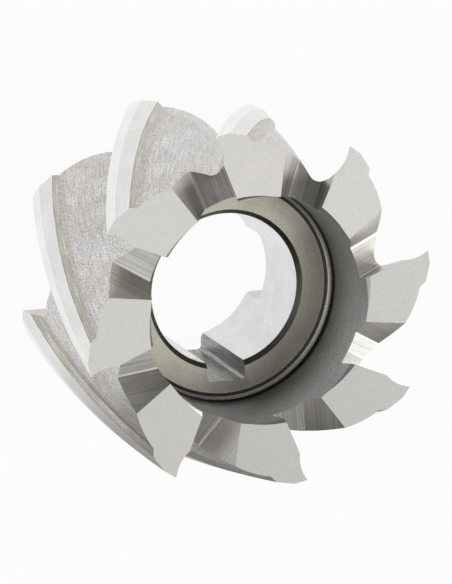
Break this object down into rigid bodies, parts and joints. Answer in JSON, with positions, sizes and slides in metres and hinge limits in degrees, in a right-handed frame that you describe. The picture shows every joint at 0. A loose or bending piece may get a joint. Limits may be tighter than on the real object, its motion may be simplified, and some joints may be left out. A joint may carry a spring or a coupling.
{
  "type": "shell end mill",
  "caption": "Short hollow milling cutter with helical side teeth and ground end teeth, a keyed bore, a recess for the screw's head and a drive slot across its flat back.",
  "frame": {"origin": "middle of the flat back face, on the tool's axis", "axes": "+Z along the axis from the back face to the end teeth, -Y towards the keyway, X along the drive slot"},
  "size_m": [0.063, 0.063, 0.04],
  "materials": {
    "tool_steel": "ground and milled tool steel, satin"
  },
  "bodies": {
    "root": {"cutter_body": "tool_steel"}
  },
  "joints": []
}
